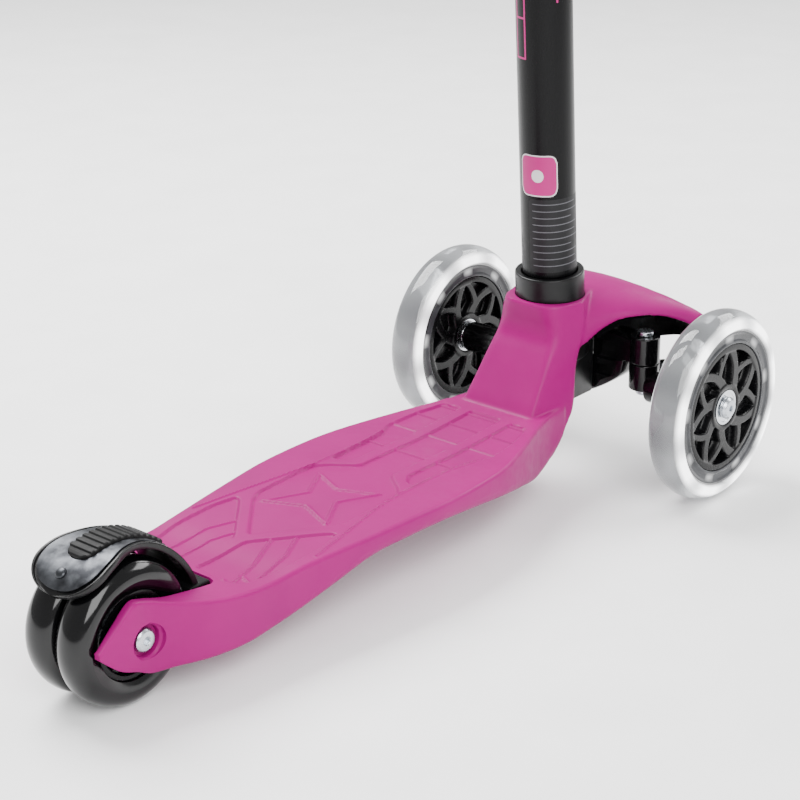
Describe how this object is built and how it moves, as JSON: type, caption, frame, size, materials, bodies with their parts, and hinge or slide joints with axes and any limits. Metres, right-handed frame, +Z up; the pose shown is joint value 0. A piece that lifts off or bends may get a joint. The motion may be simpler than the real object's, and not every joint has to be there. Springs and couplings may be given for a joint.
{
  "type": "kick scooter",
  "caption": "Child's three-wheeled kick scooter: moulded footboard, leaning steering axle with lit wheels, foot brake over the rear wheel and a telescopic T-shaped handlebar.",
  "frame": {"origin": "on the ground under the centre of the bounding box", "axes": "+X to the rider's right, +Y forward, +Z up"},
  "size_m": [0.3, 0.509, 0.6839],
  "materials": {
    "pink_shell": "satin moulded polypropylene",
    "black_nylon": "satin moulded nylon",
    "wheel_nylon": "satin moulded nylon",
    "black_anodised": "satin anodised",
    "silver_anodised": "satin anodised",
    "zinc_steel": "bright zinc plated",
    "bearing_steel": "ground",
    "bronze_bush": "sintered",
    "spacer_alloy": "machined",
    "stainless_plate": "brushed",
    "black_rubber": "matte",
    "black_urethane": "glossy cast polyurethane",
    "clear_urethane": "clear cast polyurethane",
    "light_core": "translucent polycarbonate"
  },
  "bodies": {
    "root": {"deck_shell": "pink_shell", "hood_liner": "black_nylon", "steering_socket": "black_nylon", "rear_axle_bolt": "zinc_steel", "rear_axle_nut": "zinc_steel", "rear_spacer_left": "zinc_steel", "rear_spacer_right": "zinc_steel", "brake_hinge_pin": "zinc_steel", "lean_pivot_bolt": "zinc_steel", "centring_spring_left": "zinc_steel", "centring_spring_right": "zinc_steel"},
    "release_button": {"release_button": "black_nylon"},
    "rear_wheel": {"rear_hub": "wheel_nylon", "rear_tyre_left": "black_urethane", "rear_tyre_right": "black_urethane", "rear_bearing_left": "bearing_steel", "rear_bearing_right": "bearing_steel"},
    "brake": {"brake_fender": "black_nylon", "brake_plate": "stainless_plate", "brake_pad": "black_rubber", "brake_rivet": "stainless_plate"},
    "front_beam": {"front_beam": "black_nylon", "lean_bush": "bronze_bush", "kingpin_left": "zinc_steel", "kingpin_right": "zinc_steel"},
    "tie_rod": {"tie_rod": "zinc_steel"},
    "knuckle_left": {"knuckle_left": "black_nylon", "front_axle_bolt_left": "zinc_steel", "front_axle_spacer_left": "spacer_alloy"},
    "knuckle_right": {"knuckle_right": "black_nylon", "front_axle_bolt_right": "zinc_steel", "front_axle_spacer_right": "spacer_alloy"},
    "front_wheel_left": {"front_tyre_left": "clear_urethane", "front_light_ring_left": "light_core", "front_hub_left": "wheel_nylon", "front_bearing_left_inner": "bearing_steel", "front_bearing_left_outer": "bearing_steel"},
    "front_wheel_right": {"front_tyre_right": "clear_urethane", "front_light_ring_right": "light_core", "front_hub_right": "wheel_nylon", "front_bearing_right_inner": "bearing_steel", "front_bearing_right_outer": "bearing_steel"},
    "lower_bar": {"lower_tube": "black_anodised", "tube_plug": "black_nylon", "clamp_collar": "black_nylon", "clamp_bolt": "zinc_steel"},
    "clamp_lever": {"clamp_lever": "black_nylon"},
    "upper_bar": {"upper_tube": "silver_anodised", "upper_bush": "black_nylon", "tee_joint": "black_nylon", "crossbar": "black_anodised", "grip_left": "black_rubber", "grip_right": "black_rubber"}
  },
  "joints": [
    {"name": "lean", "type": "hinge", "parent": "root", "child": "front_beam", "pos_m": [0, 0.1945, 0.076], "axis": [0, -1, 0], "range_deg": [-7, 7], "stiffness_Nm_per_rad": 40, "deforming": ["centring_spring_left", "centring_spring_right"]},
    {"name": "steer_right", "type": "hinge", "parent": "front_beam", "child": "knuckle_right", "pos_m": [0.05, 0.1945, 0.06], "axis": [0, 0, -1], "range_deg": [-12, 12]},
    {"name": "steer_left", "type": "hinge", "parent": "front_beam", "child": "knuckle_left", "pos_m": [-0.05, 0.1945, 0.06], "axis": [0, 0, -1], "range_deg": [-12, 12]},
    {"name": "tie_rod_slide", "type": "slide", "parent": "front_beam", "child": "tie_rod", "axis": [1, 0, 0], "range_m": [-0.0047, 0.0047]},
    {"name": "front_wheel_right_spin", "type": "hinge", "parent": "knuckle_right", "child": "front_wheel_right", "pos_m": [0.1015, 0.1945, 0.06], "axis": [-1, 0, 0], "continuous": true},
    {"name": "front_wheel_left_spin", "type": "hinge", "parent": "knuckle_left", "child": "front_wheel_left", "pos_m": [-0.1015, 0.1945, 0.06], "axis": [-1, 0, 0], "continuous": true},
    {"name": "rear_wheel_spin", "type": "hinge", "parent": "root", "child": "rear_wheel", "pos_m": [0, -0.2145, 0.04], "axis": [-1, 0, 0], "continuous": true},
    {"name": "brake_press", "type": "hinge", "parent": "root", "child": "brake", "pos_m": [0, -0.165, 0.0475], "axis": [1, 0, 0], "range_deg": [0, 3], "stiffness_Nm_per_rad": 1, "springref_deg": -11.46},
    {"name": "release_press", "type": "slide", "parent": "root", "child": "release_button", "axis": [0, -1, 0], "range_m": [0, 0.003], "stiffness_N_per_m": 500, "springref_m": -0.002},
    {"name": "bar_lift", "type": "slide", "parent": "root", "child": "lower_bar", "axis": [0, -0.0673, 0.9977], "range_m": [0, 0.05]},
    {"name": "bar_height", "type": "slide", "parent": "lower_bar", "child": "upper_bar", "axis": [0, -0.0673, 0.9977], "range_m": [0, 0.22]},
    {"name": "lever_open", "type": "hinge", "parent": "lower_bar", "child": "clamp_lever", "pos_m": [0.017, 0.15702, 0.58302], "axis": [0, -0.0673, 0.9977], "range_deg": [0, 120]}
  ],
  "couplings": [
    {"joint": "steer_right", "follows": "lean", "ratio": 1.7},
    {"joint": "steer_left", "follows": "lean", "ratio": 1.7},
    {"joint": "tie_rod_slide", "follows": "lean", "m_per_rad": 0.0371}
  ]
}
